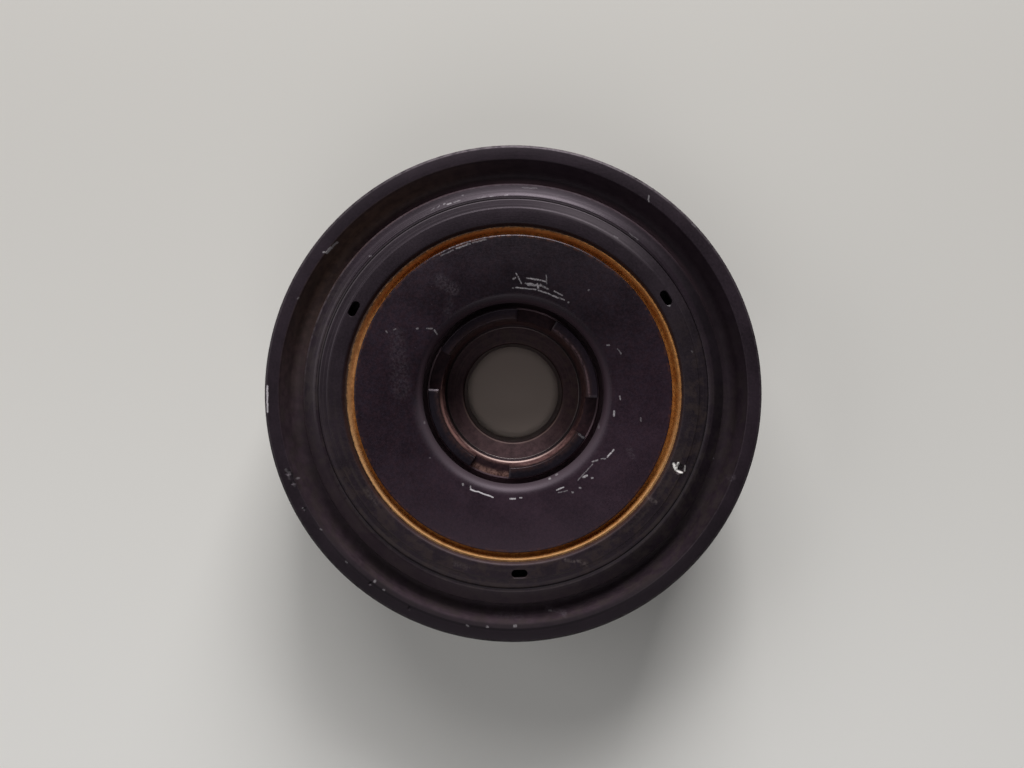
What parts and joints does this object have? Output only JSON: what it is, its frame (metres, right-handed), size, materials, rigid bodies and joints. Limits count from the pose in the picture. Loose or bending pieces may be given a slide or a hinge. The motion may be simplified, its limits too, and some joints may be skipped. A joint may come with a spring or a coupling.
{
  "type": "harmonic balancer",
  "caption": "Crankshaft harmonic balancer: a ribbed belt pulley and inertia ring bonded by rubber to a hub disc on a turned hub with driving lugs and a seal nose.",
  "frame": {"origin": "centre of the nose end face, which the part stands on", "axes": "+Z along the crank axis, from the nose end to the front face; +X and +Y across it, with the three face pockets at 32, 152 and 272 degrees from +X"},
  "size_m": [0.165, 0.165, 0.05],
  "materials": {
    "pulley_paint": "turned cast iron in worn satin black paint, with brown dust in the front valley",
    "ring_paint": "turned cast iron in worn satin black paint",
    "rubber": "black rubber under a film of orange rust dust",
    "disc_paint": "turned steel in satin black paint, scuffed and scratched",
    "core_steel": "turned steel, oiled and lightly rusted, with traces of black paint on the lugs"
  },
  "bodies": {
    "root": {"pulley_ring": "pulley_paint", "inertia_ring": "ring_paint", "damper_rubber": "rubber", "hub_disc": "disc_paint", "hub_core": "core_steel"}
  },
  "joints": []
}
